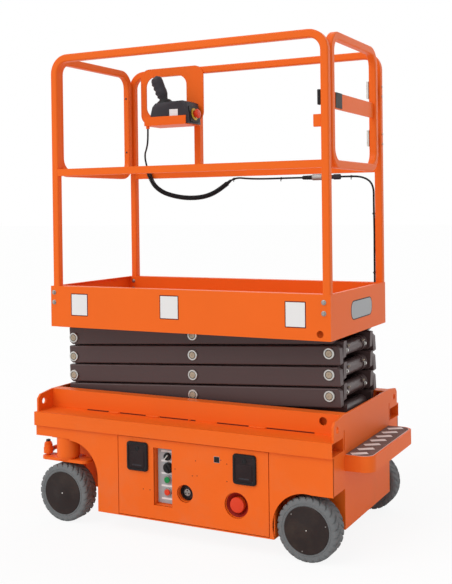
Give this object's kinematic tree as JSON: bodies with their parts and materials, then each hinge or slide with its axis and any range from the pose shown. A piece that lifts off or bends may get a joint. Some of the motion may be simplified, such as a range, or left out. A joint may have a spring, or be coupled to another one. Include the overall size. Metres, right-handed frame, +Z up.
{
  "type": "self-propelled slab scissor lift",
  "caption": "Small electric scissor work platform, stowed: slab chassis on wheels, crossed lift arms, guard-railed deck with entry gate and step.",
  "frame": {"origin": "centre of the overall box at ground level", "axes": "+X towards the entry step and fixed wheels, +Y away from the lower controls, +Z up"},
  "size_m": [1.382, 0.762, 1.879],
  "materials": {
    "orange_paint": "satin",
    "arm_paint": "satin",
    "tyre_grey": "matte",
    "hub_black": "satin",
    "black_plastic": "matte",
    "grey_plastic": "matte",
    "bare_steel": "satin",
    "rod_chrome": "gloss",
    "cable_black": "matte"
  },
  "bodies": {
    "chassis": {"chassis_frame": "orange_paint", "entry_step": "orange_paint", "battery_pack": "black_plastic", "hydraulic_unit": "hub_black", "lower_controls": "grey_plastic", "rear_stub_axles": "hub_black"},
    "door_near": {"door_near": "orange_paint", "latches_near": "black_plastic"},
    "door_far": {"door_far": "orange_paint", "latches_far": "black_plastic"},
    "knuckle_near": {"knuckle_near": "orange_paint"},
    "knuckle_far": {"knuckle_far": "orange_paint"},
    "tie_rod": {"tie_rod": "bare_steel"},
    "outer_1": {"outer_arms_1": "arm_paint", "chassis_rollers": "bare_steel"},
    "outer_2": {"outer_arms_2": "arm_paint"},
    "outer_3": {"outer_arms_3": "arm_paint"},
    "outer_4": {"outer_arms_4": "arm_paint"},
    "inner_1": {"inner_arms_1": "arm_paint"},
    "inner_2": {"inner_arms_2": "arm_paint"},
    "inner_3": {"inner_arms_3": "arm_paint"},
    "inner_4": {"inner_arms_4": "arm_paint", "platform_rollers": "bare_steel"},
    "lift_barrel": {"lift_barrel": "hub_black"},
    "lift_rod": {"lift_rod": "rod_chrome"},
    "platform": {"platform_deck": "orange_paint", "guard_rail_near": "orange_paint", "guard_rail_far": "orange_paint", "guard_rail_end": "orange_paint", "hinge_leaves": "bare_steel", "control_bracket": "orange_paint", "control_box": "black_plastic", "cable_runs": "cable_black", "cable_coil": "cable_black", "cable_connector": "black_plastic"},
    "gate": {"entry_gate": "orange_paint", "gate_hinges": "bare_steel"},
    "wheel_front_near": {"tyre_front_near": "tyre_grey", "hub_front_near": "hub_black"},
    "wheel_front_far": {"tyre_front_far": "tyre_grey", "hub_front_far": "hub_black"},
    "wheel_rear_near": {"tyre_rear_near": "tyre_grey", "hub_rear_near": "hub_black"},
    "wheel_rear_far": {"tyre_rear_far": "tyre_grey", "hub_rear_far": "hub_black"}
  },
  "joints": [
    {"name": "lift", "type": "hinge", "parent": "chassis", "child": "inner_1", "pos_m": [0.513, 0, 0.48], "axis": [0, 1, 0], "range_deg": [0, 44]},
    {"name": "centre_1", "type": "hinge", "parent": "inner_1", "child": "outer_1", "pos_m": [-0.054, 0, 0.51875], "axis": [0, 1, 0], "range_deg": [-88, 0]},
    {"name": "right_end_1", "type": "hinge", "parent": "outer_1", "child": "inner_2", "pos_m": [0.513, 0, 0.5575], "axis": [0, 1, 0], "range_deg": [0, 88]},
    {"name": "centre_2", "type": "hinge", "parent": "inner_2", "child": "outer_2", "pos_m": [-0.054, 0, 0.59625], "axis": [0, 1, 0], "range_deg": [-88, 0]},
    {"name": "right_end_2", "type": "hinge", "parent": "outer_2", "child": "inner_3", "pos_m": [0.513, 0, 0.635], "axis": [0, 1, 0], "range_deg": [0, 88]},
    {"name": "centre_3", "type": "hinge", "parent": "inner_3", "child": "outer_3", "pos_m": [-0.054, 0, 0.67375], "axis": [0, 1, 0], "range_deg": [-88, 0]},
    {"name": "right_end_3", "type": "hinge", "parent": "outer_3", "child": "inner_4", "pos_m": [0.513, 0, 0.7125], "axis": [0, 1, 0], "range_deg": [0, 88]},
    {"name": "centre_4", "type": "hinge", "parent": "inner_4", "child": "outer_4", "pos_m": [-0.054, 0, 0.75125], "axis": [0, 1, 0], "range_deg": [-88, 0]},
    {"name": "platform_pivot", "type": "hinge", "parent": "outer_4", "child": "platform", "pos_m": [0.513, 0, 0.79], "axis": [0, 1, 0], "range_deg": [0, 44]},
    {"name": "barrel_pivot", "type": "hinge", "parent": "inner_1", "child": "lift_barrel", "pos_m": [-0.43479, 0, 0.54477], "axis": [0, 1, 0], "range_deg": [-96.84, 0]},
    {"name": "rod_slide", "type": "slide", "parent": "lift_barrel", "child": "lift_rod", "axis": [0.9952, 0, 0.0982], "range_m": [0, 0.22031]},
    {"name": "steer_near", "type": "hinge", "parent": "chassis", "child": "knuckle_near", "pos_m": [-0.564, -0.325, 0.294], "axis": [0, 0, 1], "range_deg": [-35, 35]},
    {"name": "steer_far", "type": "hinge", "parent": "chassis", "child": "knuckle_far", "pos_m": [-0.564, 0.325, 0.294], "axis": [0, 0, 1], "range_deg": [-35, 35]},
    {"name": "tie_rod_joint", "type": "hinge", "parent": "knuckle_near", "child": "tie_rod", "pos_m": [-0.665, -0.325, 0.268], "axis": [0, 0, 1], "range_deg": [-35, 35]},
    {"name": "wheel_front_near", "type": "hinge", "parent": "knuckle_near", "child": "wheel_front_near", "pos_m": [-0.564, -0.329, 0.115], "axis": [0, 1, 0], "continuous": true},
    {"name": "wheel_front_far", "type": "hinge", "parent": "knuckle_far", "child": "wheel_front_far", "pos_m": [-0.564, 0.329, 0.115], "axis": [0, 1, 0], "continuous": true},
    {"name": "wheel_rear_near", "type": "hinge", "parent": "chassis", "child": "wheel_rear_near", "pos_m": [0.486, -0.329, 0.115], "axis": [0, 1, 0], "continuous": true},
    {"name": "wheel_rear_far", "type": "hinge", "parent": "chassis", "child": "wheel_rear_far", "pos_m": [0.486, 0.329, 0.115], "axis": [0, 1, 0], "continuous": true},
    {"name": "door_near", "type": "hinge", "parent": "chassis", "child": "door_near", "pos_m": [0, -0.374, 0.07], "axis": [1, 0, 0], "range_deg": [0, 90]},
    {"name": "door_far", "type": "hinge", "parent": "chassis", "child": "door_far", "pos_m": [0, 0.374, 0.07], "axis": [-1, 0, 0], "range_deg": [0, 90]},
    {"name": "gate", "type": "hinge", "parent": "platform", "child": "gate", "pos_m": [0.528, 0.258, 1.628], "axis": [0, 0, -1], "range_deg": [0, 90]}
  ],
  "couplings": [
    {"joint": "centre_1", "follows": "lift", "ratio": -2},
    {"joint": "right_end_1", "follows": "lift", "ratio": 2},
    {"joint": "centre_2", "follows": "lift", "ratio": -2},
    {"joint": "right_end_2", "follows": "lift", "ratio": 2},
    {"joint": "centre_3", "follows": "lift", "ratio": -2},
    {"joint": "right_end_3", "follows": "lift", "ratio": 2},
    {"joint": "centre_4", "follows": "lift", "ratio": -2},
    {"joint": "platform_pivot", "follows": "lift", "ratio": 1},
    {"joint": "barrel_pivot", "follows": "lift", "ratio": -2.1896},
    {"joint": "rod_slide", "follows": "lift", "m_per_rad": 0.28623},
    {"joint": "steer_far", "follows": "steer_near", "ratio": 1},
    {"joint": "tie_rod_joint", "follows": "steer_near", "ratio": -1}
  ]
}
